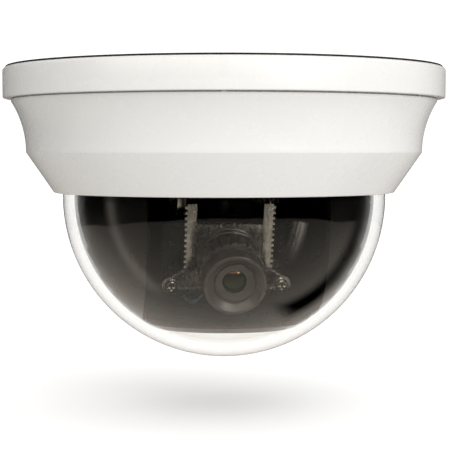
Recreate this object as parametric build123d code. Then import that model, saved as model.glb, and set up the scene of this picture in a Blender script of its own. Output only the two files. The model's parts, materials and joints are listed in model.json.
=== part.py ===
from build123d import *

import os
from math import asin, cos, hypot, radians, sin, sqrt

# A ceiling dome camera, in millimetres. The origin is the centre of the ceiling face
# and +Z points up into the ceiling, so the camera hangs towards -Z. The lens looks
# towards -Y, turned by the pan joint and lowered by the tilt joint.

# ---- driving dimensions -------------------------------------------------------------
RIM_RADIUS = 65.0          # outside of the base
BASE_HEIGHT = 9.3          # ceiling face to the lower edge of the rim
SEAM = 0.4                 # groove between the base and the cover
DOME_RADIUS = 47.8         # outside of the clear dome
DOME_WALL = 2.7
DOME_Z = -37.8             # height of the sphere's centre, which is the tilt axis too
PAN_ANGLE = 6.5            # pan at rest, towards +X
TILT_ANGLE = 21.0          # the lens looks this far below the horizontal at rest

# ---- base ----------------------------------------------------------------------------
GASKET_HEIGHT = 0.5
GASKET_INNER = 60.5
GASKET_OUTER = 64.2
BASE_PLATE = 3.2           # thickness of the base's plate
RIM_WALL = 2.8
RIM_INNER = RIM_RADIUS - RIM_WALL
MOUNT_HOLE_CIRCLE = 48.0   # radius of the circle of ceiling screw holes
MOUNT_HOLE_RADIUS = 2.25
MOUNT_HOLE_ANGLES = (90, 210, 330)
CABLE_HOLE_Y = 30.0
CABLE_HOLE_RADIUS = 6.5
CABLE_BORE_RADIUS = 3.4
BOSS_RADIUS = 5.0          # thicker ring round each ceiling screw hole
BOSS_LOW = -BASE_PLATE - 1.6
BEARING_POST_RADIUS = 3.4
RIB_INNER = 52.5
GROMMET_TOP = -0.6
GROMMET_FLANGE_LOW = -BASE_PLATE - 1.8
GROMMET_LOW = GROMMET_FLANGE_LOW - 4.5
BOARD_POST_X = 19.5
BOARD_POST_Y = (-23.5, 11.5)
BOARD_POST_RADIUS = 2.6
BOARD_PILOT_TOP = -0.9
BOARD_TOP = -5.5
BOARD_THICK = 1.6
BOARD_LOW = BOARD_TOP - BOARD_THICK

# ---- cover ---------------------------------------------------------------------------
SKIRT_TOP = -(BASE_HEIGHT + SEAM)
SKIRT_TOP_RADIUS = 62.95
SKIRT_LOW = -24.9
SKIRT_LOW_RADIUS = 58.4
CONE_LOW = -36.8
CONE_LOW_RADIUS = 50.3
CONE_SLOPE = (SKIRT_LOW_RADIUS - CONE_LOW_RADIUS) / (SKIRT_LOW - CONE_LOW)
COVER_WALL = 2.66          # cone's wall, measured level
COVER_BORE = 48.15
SEAT_Z = -32.0             # ledge that the dome's gasket lies on
DOME_GASKET_TOP = -31.0
DOME_SCREW_ANGLES = (45, 135, 225, 315)
SPIGOT_TOP = -5.0
SPIGOT_RADIUS = 61.7
SPIGOT_WALL = 2.1
SEAT_RADIUS = 51.4
DOME_SCREW_CIRCLE = 49.7
FLANGE_RADIUS = 51.2
FLANGE_TOP = -29.0
RETAINER_TOP = -27.2

# ---- pan group -----------------------------------------------------------------------
RING_TOP = -15.0
RING_THICK = 3.0
RING_BORE = 40.0
RING_OUTER = 45.0
EAR_CIRCLE = 48.5
EAR_RADIUS = 4.0
EAR_ANGLES = (30, 150, 270)
JOURNAL_RADIUS = 39.93
TURNTABLE_PLATE_LOW = -16.6
JOURNAL_LOW = -18.1
HOOD_RADIUS = 44.4
HOOD_WALL = 1.4
HOOD_TOP = -18.15
HOOD_FLOOR = -74.6
HOOD_BORE = 34.0           # opening in the hood's upper flange
HOOD_FLANGE_LOW = HOOD_TOP - 1.5
HOOD_WINDOW_BACK = -12.0
HOOD_WINDOW = 24.5         # half-width of the window in front of the lens
HOOD_SCREW_CIRCLE = 38.2
YOKE_INNER = 12.9          # half the gap between the two arms
YOKE_THICK = 1.5
YOKE_HALF_WIDTH = 6.0
YOKE_FOOT_END = 24.0
YOKE_SCREW_X = 19.0
YOKE_SCREW_Y = 3.2
PIVOT_RADIUS = 1.48        # tilt screw's shank
HARNESS_RADIUS = 1.5

# ---- tilt group, measured from the tilt axis with the lens level -----------------------
LENS_DROP = 12.24          # lens axis below the tilt axis
PLATE_FRONT = -15.9        # front face of the lens plate
PLATE_THICK = 1.2
EAR_X = 16.3
EAR_Z = -22.0
STRIP_INNER = 9.6
STRIP_OUTER = 12.3
STRIP_LOW = -16.2
STRIP_HIGH = 4.5
TOOTH_PITCH = 1.7
TOOTH_COUNT = 12
BOARD_FACE = -7.0          # front face of the sensor board behind the lens plate
SENSOR_BOARD_THICK = 1.6
SENSOR_BOARD_BACK = BOARD_FACE - SENSOR_BOARD_THICK
HOLDER_SCREW = 7.9         # the two holder screws are this far along x and y
CHEEK_TOP = 6.0

# ---- lens, measured forwards from the lens plate ---------------------------------------
BARREL_RADIUS = 9.3
BARREL_LENGTH = 6.0
NECK_RADIUS = 7.25
NECK_END = 12.1
FOCUS_LOBES = 24
FOCUS_LOBE_CIRCLE = 8.35
FOCUS_LOBE_RADIUS = 1.25
HEAD_RADIUS = 8.85
HEAD_BACK = 13.3
HEAD_FRONT = 19.0
TUBE_RADIUS = 6.55
TUBE_BORE = 5.6
GLASS_RADIUS = 5.5
BEZEL_BORE = 3.45


# ---- helpers -------------------------------------------------------------------------
def turned(*corners):
    """Solid turned about Z. A corner is (radius, height) or (radius, height, rounding)."""
    points = [(corner[0], 0, corner[1]) for corner in corners]
    roundings = [corner[2] if len(corner) > 2 else 0 for corner in corners]
    outline = FilletPolyline(*points, radius=roundings, close=True)
    return revolve(Face(Wire(outline.edges())), Axis.Z)


def rod(radius, low, high, x=0.0, y=0.0):
    """Upright cylinder between two heights."""
    return Pos(x, y, (low + high) / 2) * Cylinder(radius, high - low)


def block(x_range, y_range, z_range):
    """Box between pairs of coordinates."""
    lows = [min(pair) for pair in (x_range, y_range, z_range)]
    highs = [max(pair) for pair in (x_range, y_range, z_range)]
    size = [high - low for low, high in zip(lows, highs)]
    middle = [(high + low) / 2 for low, high in zip(lows, highs)]
    return Pos(*middle) * Box(*size)


def prism(points, direction, depth):
    """Flat polygon pushed along a direction."""
    return extrude(Face(Wire.make_polygon(points, close=True)), amount=depth, dir=direction)


def around(radius, angles):
    """Points on a circle about Z, one for each angle in degrees."""
    return [(radius * cos(radians(a)), radius * sin(radians(a))) for a in angles]


def evenly(count, start=0.0):
    """Angles in degrees spread evenly over a turn."""
    return [start + 360 * index / count for index in range(count)]


def both_sides(shape):
    """A shape and its mirror image across the YZ plane."""
    return [shape, mirror(shape, Plane.YZ)]


def group(shapes):
    """Several separate solids kept as one node."""
    return Compound(children=[solid for shape in shapes for solid in shape.solids()])


def screw(head_radius, head_height, shank_radius, shank_length):
    """Pan-head cross-recess screw, its head above z = 0 and its shank below."""
    rounding = head_height * 0.4
    head = turned((0, 0), (head_radius, 0), (head_radius, head_height, rounding), (0, head_height))
    slot = (head_radius * 1.2, head_radius * 0.32, head_height)
    recess_z = head_height * 1.05
    recess = Pos(0, 0, recess_z) * Box(*slot) + Pos(0, 0, recess_z) * Rot(0, 0, 90) * Box(*slot)
    return head - recess + rod(shank_radius, -shank_length, 0)


def upward(shape, x, y, z):
    """Turn a screw over, so that its head hangs below z and its shank points up."""
    return Pos(x, y, z) * Rot(180, 0, 0) * shape


def tube(points, radius):
    """Round wire through points: straight runs joined by the largest tangent arcs."""
    route = [Vector(*point) for point in points]
    bends = []
    for before, corner, after in zip(route, route[1:], route[2:]):
        into = corner - before
        out = after - corner
        half_turn = radians(into.get_angle(out)) / 2
        shorter = min(into.length, out.length)
        bends.append(0.45 * shorter * cos(half_turn) / sin(half_turn))
    print("lead bends", [round(bend, 2) for bend in bends], "mm on a radius of", radius)
    path = FilletPolyline(*points, radius=bends)
    section = Plane(origin=path @ 0, z_dir=path % 0) * Circle(radius)
    return sweep(section, path=Wire(path.edges()))


def degrees_of(run, rise):
    """Angle of a slope in degrees."""
    return Vector(run, rise, 0).get_signed_angle(Vector(1, 0, 0), Vector(0, 0, -1))


def panned(shape):
    """From the pan group's own frame to the rest pose."""
    return Rot(0, 0, PAN_ANGLE) * shape


def tilted(shape):
    """From the tilt group's own frame, level and centred on the tilt axis, to the rest pose."""
    return panned(Pos(0, 0, DOME_Z) * Rot(TILT_ANGLE, 0, 0) * shape)


def aimed(shape):
    """From the lens frame, where +Z is forwards from the lens plate, to the rest pose."""
    return tilted(Pos(0, PLATE_FRONT, -LENS_DROP) * Rot(90, 0, 0) * shape)


# ---- base ----------------------------------------------------------------------------
def board_posts():
    """Places of the main board's four posts."""
    return [(x, y) for x in (-BOARD_POST_X, BOARD_POST_X) for y in BOARD_POST_Y]


def mounting_base():
    body = turned(
        (0, 0),
        (GASKET_INNER, 0),
        (GASKET_INNER, -GASKET_HEIGHT),
        (RIM_INNER, -GASKET_HEIGHT),
        (RIM_INNER, -BASE_PLATE),
        (0, -BASE_PLATE),
    )
    for x, y in around(MOUNT_HOLE_CIRCLE, MOUNT_HOLE_ANGLES):
        body += rod(BOSS_RADIUS, BOSS_LOW, -BASE_PLATE, x, y)
        body -= rod(MOUNT_HOLE_RADIUS, BOSS_LOW, 0, x, y)
    for x, y in board_posts():
        body -= rod(0.85, -BASE_PLATE, BOARD_PILOT_TOP, x, y)
    return body - rod(CABLE_HOLE_RADIUS, -BASE_PLATE, 0, 0, CABLE_HOLE_Y)


def base_rim():
    return turned(
        (RIM_INNER, -GASKET_HEIGHT),
        (RIM_RADIUS, -GASKET_HEIGHT, 1.0),
        (RIM_RADIUS, -BASE_HEIGHT, 0.35),
        (RIM_INNER, -BASE_HEIGHT),
    )


def bearing_posts():
    posts = []
    for x, y in around(EAR_CIRCLE, EAR_ANGLES):
        post = rod(BEARING_POST_RADIUS, RING_TOP, -BASE_PLATE, x, y)
        posts.append(post - rod(1.0, RING_TOP, RING_TOP + 8.0, x, y))
    return group(posts)


def base_ribs():
    shapes = []
    for angle in evenly(6):
        rib = block((RIB_INNER, RIM_INNER - 0.01), (-0.6, 0.6), (SPIGOT_TOP + 0.3, -BASE_PLATE))
        shapes.append(Rot(0, 0, angle) * rib)
    for x, y in board_posts():
        post = rod(BOARD_POST_RADIUS, BOARD_TOP, -BASE_PLATE, x, y)
        shapes.append(post - rod(0.85, BOARD_TOP, -BASE_PLATE, x, y))
    return group(shapes)


def base_gasket():
    return turned(
        (GASKET_INNER, 0), (GASKET_OUTER, 0), (GASKET_OUTER, -GASKET_HEIGHT), (GASKET_INNER, -GASKET_HEIGHT)
    )


def cable_grommet():
    return Pos(0, CABLE_HOLE_Y, 0) * turned(
        (CABLE_BORE_RADIUS, GROMMET_TOP),
        (CABLE_HOLE_RADIUS, GROMMET_TOP),
        (CABLE_HOLE_RADIUS, -BASE_PLATE),
        (8.6, -BASE_PLATE),
        (8.6, GROMMET_FLANGE_LOW, 0.5),
        (6.2, GROMMET_FLANGE_LOW),
        (4.9, GROMMET_LOW, 0.4),
        (CABLE_BORE_RADIUS, GROMMET_LOW),
    )


def main_board():
    board = block((-23, 23), (-27, 15), (BOARD_LOW, BOARD_TOP))
    board = fillet(board.edges().filter_by(Axis.Z), 2.0)
    for x, y in board_posts():
        board -= rod(1.0, BOARD_LOW, BOARD_TOP, x, y)
    return board


def board_screws():
    one = screw(2.1, 1.4, 0.8, 4.8)
    return group([upward(one, x, y, BOARD_LOW) for x, y in board_posts()])


def board_chips():
    places = ((-11, 6, 10, 10, 1.4), (11.5, -4, 7, 7, 1.2), (-12, -12, 6, 5, 1.3), (2, -19, 9, 4, 1.4))
    return group([
        block((x - w / 2, x + w / 2), (y - d / 2, y + d / 2), (BOARD_LOW - h, BOARD_LOW))
        for x, y, w, d, h in places
    ])


def board_capacitors():
    one = turned((0, BOARD_LOW), (2.5, BOARD_LOW), (2.5, BOARD_LOW - 4.8, 0.5), (0, BOARD_LOW - 4.8))
    return group([Pos(x, y, 0) * one for x, y in ((14, -13), (8.4, -13), (14, -18.8))])


def power_coil():
    low = BOARD_LOW - 3.0
    core = turned((1.6, BOARD_LOW), (3.6, BOARD_LOW), (3.6, low, 0.6), (1.6, low, 0.6))
    return Pos(-2.5, -10.5, 0) * core


def cable_header():
    shell = block((-6, 6), (9.0, 14.0), (BOARD_LOW - 5.0, BOARD_LOW))
    shell -= block((-5.2, 5.2), (9.8, 13.2), (BOARD_LOW - 5.0, BOARD_LOW - 1.2))
    for index in range(4):
        x = -3.75 + 2.5 * index
        shell += block((x - 0.3, x + 0.3), (11.2, 11.8), (BOARD_LOW - 4.6, BOARD_LOW - 1.2))
    return shell


def harness_socket():
    body = block((-4.5, 4.5), (-2.6, 2.6), (BOARD_LOW - 4.0, BOARD_LOW))
    return chamfer(body.faces().sort_by(Axis.Z)[0].edges(), 0.4)


def harness_upper():
    return rod(HARNESS_RADIUS, -13.3, BOARD_LOW - 4.0)


def bearing_ring():
    low = RING_TOP - RING_THICK
    ring = turned((RING_BORE, RING_TOP), (RING_OUTER, RING_TOP), (RING_OUTER, low, 0.4), (RING_BORE, low))
    for angle, (x, y) in zip(EAR_ANGLES, around(EAR_CIRCLE, EAR_ANGLES)):
        ring += rod(EAR_RADIUS, low, RING_TOP, x, y)
        bridge = block((RING_OUTER - 1.5, EAR_CIRCLE), (-EAR_RADIUS, EAR_RADIUS), (low, RING_TOP))
        ring += Rot(0, 0, angle) * bridge
        ring -= rod(1.3, low, RING_TOP, x, y)
    return ring


def bearing_ring_screws():
    one = screw(2.2, 1.5, 0.95, RING_THICK + 7.0)
    low = RING_TOP - RING_THICK
    return group([upward(one, x, y, low) for x, y in around(EAR_CIRCLE, EAR_ANGLES)])


def friction_ring():
    return turned((40.3, RING_TOP), (42.3, RING_TOP), (42.3, RING_TOP + 0.5), (40.3, RING_TOP + 0.5))


# ---- cover ---------------------------------------------------------------------------
def cover_shell():
    run = SKIRT_TOP_RADIUS - SKIRT_LOW_RADIUS
    rise = SKIRT_TOP - SKIRT_LOW
    curve = (run ** 2 + rise ** 2) / (2 * run)
    half_angle = asin(rise / curve) / 2
    middle = (SKIRT_LOW_RADIUS + curve * (1 - cos(half_angle)), 0, SKIRT_LOW + curve * sin(half_angle))
    skirt = ThreePointArc((SKIRT_TOP_RADIUS, 0, SKIRT_TOP), middle, (SKIRT_LOW_RADIUS, 0, SKIRT_LOW))
    wall = SKIRT_LOW_RADIUS - COVER_WALL
    seat_top = SKIRT_LOW - (wall - SEAT_RADIUS) / CONE_SLOPE
    inner = SPIGOT_RADIUS - SPIGOT_WALL
    corners = (
        (SKIRT_LOW_RADIUS, SKIRT_LOW, 0),
        (CONE_LOW_RADIUS, CONE_LOW, 0.8),
        (COVER_BORE, CONE_LOW, 0.4),
        (COVER_BORE, SEAT_Z, 0),
        (SEAT_RADIUS, SEAT_Z, 0),
        (SEAT_RADIUS, seat_top, 0),
        (wall, SKIRT_LOW, 0),
        (inner, SKIRT_TOP - 1.3, 0),
        (inner, SPIGOT_TOP, 0.4),
        (SPIGOT_RADIUS, SPIGOT_TOP, 0.4),
        (SPIGOT_RADIUS, SKIRT_TOP, 0),
        (SKIRT_TOP_RADIUS, SKIRT_TOP, 0),
    )
    points = [(r, 0, z) for r, z, _ in corners]
    rest = FilletPolyline(*points, radius=[corner[2] for corner in corners[1:-1]])
    shell = revolve(Face(Wire(skirt.edges() + rest.edges())), Axis.Z)
    for angle in evenly(6, 30):
        rib = block((SPIGOT_RADIUS - 0.5, SPIGOT_RADIUS + 0.42), (-0.8, 0.8), (SKIRT_TOP, SPIGOT_TOP - 0.6))
        shell += Rot(0, 0, angle) * rib
    for x, y in around(DOME_SCREW_CIRCLE, DOME_SCREW_ANGLES):
        shell -= rod(0.98, SEAT_Z - 2.9, SEAT_Z, x, y)
    return shell


def dome_cover():
    inner = DOME_RADIUS - DOME_WALL
    half = sqrt(0.5)
    outline = [
        ThreePointArc(
            (0, 0, DOME_Z - DOME_RADIUS),
            (DOME_RADIUS * half, 0, DOME_Z - DOME_RADIUS * half),
            (DOME_RADIUS, 0, DOME_Z),
        ),
        Line((DOME_RADIUS, 0, DOME_Z), (DOME_RADIUS, 0, DOME_GASKET_TOP)),
        Line((DOME_RADIUS, 0, DOME_GASKET_TOP), (FLANGE_RADIUS, 0, DOME_GASKET_TOP)),
        Line((FLANGE_RADIUS, 0, DOME_GASKET_TOP), (FLANGE_RADIUS, 0, FLANGE_TOP)),
        Line((FLANGE_RADIUS, 0, FLANGE_TOP), (inner, 0, FLANGE_TOP)),
        Line((inner, 0, FLANGE_TOP), (inner, 0, DOME_Z)),
        ThreePointArc((inner, 0, DOME_Z), (inner * half, 0, DOME_Z - inner * half), (0, 0, DOME_Z - inner)),
        Line((0, 0, DOME_Z - inner), (0, 0, DOME_Z - DOME_RADIUS)),
    ]
    dome = revolve(Face(Wire([line.edge() for line in outline])), Axis.Z)
    for x, y in around(DOME_SCREW_CIRCLE, DOME_SCREW_ANGLES):
        dome -= rod(1.1, DOME_GASKET_TOP, FLANGE_TOP, x, y)
    return dome


def dome_gasket():
    bore = COVER_BORE + 0.15
    gasket = turned(
        (bore, SEAT_Z), (FLANGE_RADIUS, SEAT_Z), (FLANGE_RADIUS, DOME_GASKET_TOP), (bore, DOME_GASKET_TOP)
    )
    for x, y in around(DOME_SCREW_CIRCLE, DOME_SCREW_ANGLES):
        gasket -= rod(1.1, SEAT_Z, DOME_GASKET_TOP, x, y)
    return gasket


def dome_retaining_ring():
    ring = turned(
        (45.8, FLANGE_TOP), (51.6, FLANGE_TOP), (51.6, RETAINER_TOP, 0.5), (45.8, RETAINER_TOP, 0.5)
    )
    for x, y in around(DOME_SCREW_CIRCLE, DOME_SCREW_ANGLES):
        ring -= rod(1.1, FLANGE_TOP, RETAINER_TOP, x, y)
    return ring


def dome_ring_screws():
    one = screw(1.85, 1.3, 0.95, 7.4)
    return group([Pos(x, y, RETAINER_TOP) * one for x, y in around(DOME_SCREW_CIRCLE, DOME_SCREW_ANGLES)])


# ---- pan group -----------------------------------------------------------------------
def turntable():
    flange_low = RING_TOP + 0.55
    plate_top = TURNTABLE_PLATE_LOW + 2.4
    body = turned(
        (5.5, plate_top + 1.4),
        (5.5, TURNTABLE_PLATE_LOW),
        (36.5, TURNTABLE_PLATE_LOW),
        (36.5, JOURNAL_LOW),
        (JOURNAL_RADIUS, JOURNAL_LOW, 0.3),
        (JOURNAL_RADIUS, flange_low),
        (42.4, flange_low),
        (42.4, flange_low + 1.5, 0.4),
        (38.0, flange_low + 1.5),
        (38.0, plate_top),
        (8.0, plate_top),
        (8.0, plate_top + 1.4),
    )
    for x, y in around(HOOD_SCREW_CIRCLE, MOUNT_HOLE_ANGLES):
        body -= rod(0.9, JOURNAL_LOW, JOURNAL_LOW + 3.4, x, y)
    for x in (-YOKE_SCREW_X, YOKE_SCREW_X):
        for y in (-YOKE_SCREW_Y, YOKE_SCREW_Y):
            body -= rod(0.9, TURNTABLE_PLATE_LOW, TURNTABLE_PLATE_LOW + 2.0, x, y)
    slot = block((18, 31), (-4, 4), (TURNTABLE_PLATE_LOW, plate_top))
    slot = fillet(slot.edges().filter_by(Axis.Z), 2.0)
    for angle in (60, 120, 240, 300):
        body -= Rot(0, 0, angle) * slot
    return panned(body)


def yoke(side):
    outer = YOKE_INNER + YOKE_THICK
    foot_low = TURNTABLE_PLATE_LOW - YOKE_THICK
    width = (-YOKE_HALF_WIDTH, YOKE_HALF_WIDTH)
    arm = block((YOKE_INNER, YOKE_FOOT_END), width, (foot_low, TURNTABLE_PLATE_LOW))
    arm = fillet(arm.edges().filter_by(Axis.Z).group_by(Axis.X)[-1], 2.5)
    arm += block((YOKE_INNER, outer), width, (DOME_Z, TURNTABLE_PLATE_LOW))
    bend = block((outer, outer + 1.2), width, (foot_low - 1.2, foot_low))
    bend -= Pos(outer + 1.2, 0, foot_low - 1.2) * Rot(90, 0, 0) * Cylinder(1.2, 3 * YOKE_HALF_WIDTH)
    arm += bend
    middle = YOKE_INNER + YOKE_THICK / 2
    arm += Pos(middle, 0, DOME_Z) * Rot(0, 90, 0) * Cylinder(YOKE_HALF_WIDTH, YOKE_THICK)
    arm -= Pos(middle, 0, DOME_Z) * Rot(0, 90, 0) * Cylinder(PIVOT_RADIUS + 0.07, 3 * YOKE_THICK)
    for y in (-YOKE_SCREW_Y, YOKE_SCREW_Y):
        arm -= rod(1.1, foot_low, TURNTABLE_PLATE_LOW, YOKE_SCREW_X, y)
    return panned(arm if side > 0 else mirror(arm, Plane.YZ))


def yoke_screws():
    one = screw(1.9, 1.2, 0.85, YOKE_THICK + 1.9)
    low = TURNTABLE_PLATE_LOW - YOKE_THICK
    places = [(x, y) for x in (-YOKE_SCREW_X, YOKE_SCREW_X) for y in (-YOKE_SCREW_Y, YOKE_SCREW_Y)]
    return group([panned(upward(one, x, y, low)) for x, y in places])


def liner_hood():
    inner = HOOD_RADIUS - HOOD_WALL
    floor_top = HOOD_FLOOR + HOOD_WALL
    outer_depth = DOME_Z - HOOD_FLOOR
    inner_depth = DOME_Z - floor_top
    outer_edge = sqrt(HOOD_RADIUS ** 2 - outer_depth ** 2)
    inner_edge = sqrt(inner ** 2 - inner_depth ** 2)
    half = sqrt(0.5)
    outline = [
        Line((HOOD_BORE, 0, HOOD_TOP), (HOOD_RADIUS, 0, HOOD_TOP)),
        Line((HOOD_RADIUS, 0, HOOD_TOP), (HOOD_RADIUS, 0, DOME_Z)),
        ThreePointArc(
            (HOOD_RADIUS, 0, DOME_Z),
            (HOOD_RADIUS * cos(radians(28)), 0, DOME_Z - HOOD_RADIUS * sin(radians(28))),
            (outer_edge, 0, HOOD_FLOOR),
        ),
        Line((outer_edge, 0, HOOD_FLOOR), (0, 0, HOOD_FLOOR)),
        Line((0, 0, HOOD_FLOOR), (0, 0, floor_top)),
        Line((0, 0, floor_top), (inner_edge, 0, floor_top)),
        ThreePointArc(
            (inner_edge, 0, floor_top), (inner * half, 0, DOME_Z - inner * half), (inner, 0, DOME_Z)
        ),
        Line((inner, 0, DOME_Z), (inner, 0, HOOD_FLANGE_LOW)),
        Line((inner, 0, HOOD_FLANGE_LOW), (HOOD_BORE, 0, HOOD_FLANGE_LOW)),
        Line((HOOD_BORE, 0, HOOD_FLANGE_LOW), (HOOD_BORE, 0, HOOD_TOP)),
    ]
    hood = revolve(Face(Wire([line.edge() for line in outline])), Axis.Z)
    window = block(
        (-HOOD_WINDOW, HOOD_WINDOW), (-HOOD_RADIUS - 5, HOOD_WINDOW_BACK), (floor_top, HOOD_FLANGE_LOW - 2.5)
    )
    window = fillet(window.edges().filter_by(Axis.Y).group_by(Axis.Z)[-1], 3.0)
    hood -= window
    for x, y in around(HOOD_SCREW_CIRCLE, MOUNT_HOLE_ANGLES):
        hood -= rod(1.1, HOOD_FLANGE_LOW, HOOD_TOP, x, y)
    return panned(hood)


def hood_screws():
    one = screw(1.9, 1.2, 0.85, 4.5)
    places = around(HOOD_SCREW_CIRCLE, MOUNT_HOLE_ANGLES)
    return group([panned(upward(one, x, y, HOOD_FLANGE_LOW)) for x, y in places])


def harness_middle():
    return panned(rod(HARNESS_RADIUS, DOME_Z + 1.6, -13.9))


# ---- tilt group ----------------------------------------------------------------------
def tilt_cradle():
    back = PLATE_FRONT + PLATE_THICK
    front = PLATE_FRONT - PLATE_THICK
    half_outline = [
        (STRIP_OUTER, back, -2.5),
        (STRIP_OUTER, back, STRIP_LOW),
        (EAR_X + 0.9, back, EAR_Z + 2.65),
        (EAR_X, back, EAR_Z - 2.8),
    ]
    other_half = [(-x, y, z) for x, y, z in reversed(half_outline)]
    body = prism(half_outline + other_half, (0, -1, 0), PLATE_THICK)
    cheek_outline = [
        (STRIP_OUTER, front, STRIP_LOW),
        (STRIP_OUTER, front, STRIP_HIGH),
        (STRIP_OUTER, -13.5, CHEEK_TOP),
        (STRIP_OUTER, 0, CHEEK_TOP),
        (STRIP_OUTER, 0, -5.0),
        (STRIP_OUTER, -6.0, -4.0),
        (STRIP_OUTER, -12.3, -4.0),
        (STRIP_OUTER, -12.3, STRIP_LOW),
    ]
    cheek = prism(cheek_outline, (-1, 0, 0), PLATE_THICK)
    middle = STRIP_OUTER - PLATE_THICK / 2
    cheek += Pos(middle, 0, 0) * Rot(0, 90, 0) * Cylinder(CHEEK_TOP, PLATE_THICK)
    strip = block((STRIP_INNER, STRIP_OUTER), (front, PLATE_FRONT), (STRIP_LOW, STRIP_HIGH))
    for index in range(TOOTH_COUNT):
        low = STRIP_LOW + 0.5 + TOOTH_PITCH * index
        strip += block((STRIP_OUTER - 0.2, STRIP_OUTER + 0.65), (front, PLATE_FRONT), (low, low + 0.85))
    ear = Pos(EAR_X, PLATE_FRONT + PLATE_THICK / 2, EAR_Z) * Rot(90, 0, 0) * Cylinder(2.8, PLATE_THICK)
    slope = (EAR_X + 0.9 - STRIP_OUTER, EAR_Z + 2.65 - STRIP_LOW)
    length = hypot(*slope)
    bars = []
    for share in (0.2, 0.5, 0.8):
        x = STRIP_OUTER + slope[0] * share + slope[1] / length * 0.35
        z = STRIP_LOW + slope[1] * share - slope[0] / length * 0.35
        angle = degrees_of(slope[0], slope[1])
        bars.append(Pos(x, PLATE_FRONT - 0.3, z) * Rot(0, -angle, 0) * Box(length * 0.2, 0.8, 0.6))
    for half in (cheek, strip, ear, *bars):
        for side in both_sides(half):
            body += side
    body -= Pos(0, PLATE_FRONT, -LENS_DROP) * Rot(90, 0, 0) * Cylinder(8.0, 6)
    body -= Rot(0, 90, 0) * Cylinder(PIVOT_RADIUS + 0.02, 40)
    for x in (-EAR_X, EAR_X):
        body -= Pos(x, PLATE_FRONT, EAR_Z) * Rot(90, 0, 0) * Cylinder(1.1, 6)
    return tilted(body)


def tilt_screws():
    arm_outer = YOKE_INNER + YOKE_THICK + 0.05
    knob = turned((0, 0), (3.4, 0, 0.3), (3.4, 2.2, 0.5), (0, 2.2))
    for x, y in around(3.65, evenly(16)):
        knob -= rod(0.45, 0, 2.2, x, y)
    knob -= Pos(0, 0, 2.2) * Box(4.2, 0.7, 1.2)
    one = knob + rod(PIVOT_RADIUS, -(arm_outer - 8.6), 0)
    right = Pos(arm_outer, 0, 0) * Rot(0, 90, 0) * one
    return group([tilted(side) for side in both_sides(right)])


def tilt_washers():
    washer = Rot(0, 90, 0) * (Cylinder(4.0, 0.5) - Cylinder(PIVOT_RADIUS + 0.05, 1))
    right = Pos(STRIP_OUTER + 0.3, 0, 0) * washer
    return group([tilted(side) for side in both_sides(right)])


def tilt_nuts():
    cheek_inner = STRIP_OUTER - PLATE_THICK
    hexagon = extrude(RegularPolygon(3.1, 6), amount=2.2) - rod(PIVOT_RADIUS + 0.02, 0, 2.2)
    right = Pos(cheek_inner - 2.2, 0, 0) * Rot(0, 90, 0) * hexagon
    return group([tilted(side) for side in both_sides(right)])


def plate_screws():
    one = screw(1.9, 1.1, 1.0, -BOARD_FACE + 1.4)
    return group([aimed(Pos(x, EAR_Z + LENS_DROP, 0) * one) for x in (-EAR_X, EAR_X)])


def board_spacers():
    spacer = rod(2.2, BOARD_FACE, -PLATE_THICK) - rod(1.05, BOARD_FACE, -PLATE_THICK)
    return group([aimed(Pos(x, EAR_Z + LENS_DROP, 0) * spacer) for x in (-EAR_X, EAR_X)])


def sensor_board():
    board = block((-19, 19), (-13.8, 7.2), (SENSOR_BOARD_BACK, BOARD_FACE))
    board = fillet(board.edges().filter_by(Axis.Z), 1.5)
    board += block((-10.4, 10.4), (0, 9.5), (SENSOR_BOARD_BACK, BOARD_FACE))
    for x in (-EAR_X, EAR_X):
        board -= rod(1.1, SENSOR_BOARD_BACK, BOARD_FACE, x, EAR_Z + LENS_DROP)
    for place in (HOLDER_SCREW, -HOLDER_SCREW):
        board -= rod(0.9, SENSOR_BOARD_BACK, BOARD_FACE, place, place)
    return aimed(board)


def image_sensor():
    chip = block((-5, 5), (-5, 5), (BOARD_FACE, BOARD_FACE + 1.3))
    return aimed(chamfer(chip.faces().sort_by(Axis.Z)[-1].edges(), 0.2))


def sensor_board_chips():
    places = ((0.5, -9.2, 7, 7, 1.2), (9.0, -9.6, 6, 6, 1.1), (14.5, 2.0, 4, 5, 1.0), (-14.5, 1.0, 3, 6, 1.2))
    chips = []
    for x, y, w, d, h in places:
        heights = (SENSOR_BOARD_BACK - h, SENSOR_BOARD_BACK)
        chips.append(aimed(block((x - w / 2, x + w / 2), (y - d / 2, y + d / 2), heights)))
    return group(chips)


def sensor_socket():
    return aimed(block((-4, 4), (-3.4, 1.2), (SENSOR_BOARD_BACK - 4.0, SENSOR_BOARD_BACK)))


def holder_screws():
    one = screw(1.4, 0.9, 0.75, SENSOR_BOARD_THICK + 2.2)
    places = (HOLDER_SCREW, -HOLDER_SCREW)
    return group([aimed(upward(one, place, place, SENSOR_BOARD_BACK)) for place in places])


def lens_holder():
    body = block((-10, 10), (-10, 10), (BOARD_FACE, -PLATE_THICK))
    body = fillet(body.edges().filter_by(Axis.Z), 1.2)
    body -= rod(8.0, -4.4, -PLATE_THICK)
    body -= block((-4.6, 4.6), (-4.6, 4.6), (-5.0, -4.4))
    body -= block((-3.5, 3.5), (-3.5, 3.5), (-5.6, -4.4))
    body -= block((-5.5, 5.5), (-5.5, 5.5), (BOARD_FACE, -5.4))
    for place in (HOLDER_SCREW, -HOLDER_SCREW):
        body -= rod(0.8, BOARD_FACE, BOARD_FACE + 2.4, place, place)
    return aimed(body)


def infrared_filter():
    return aimed(block((-4.5, 4.5), (-4.5, 4.5), (-5.0, -4.45)))


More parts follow.
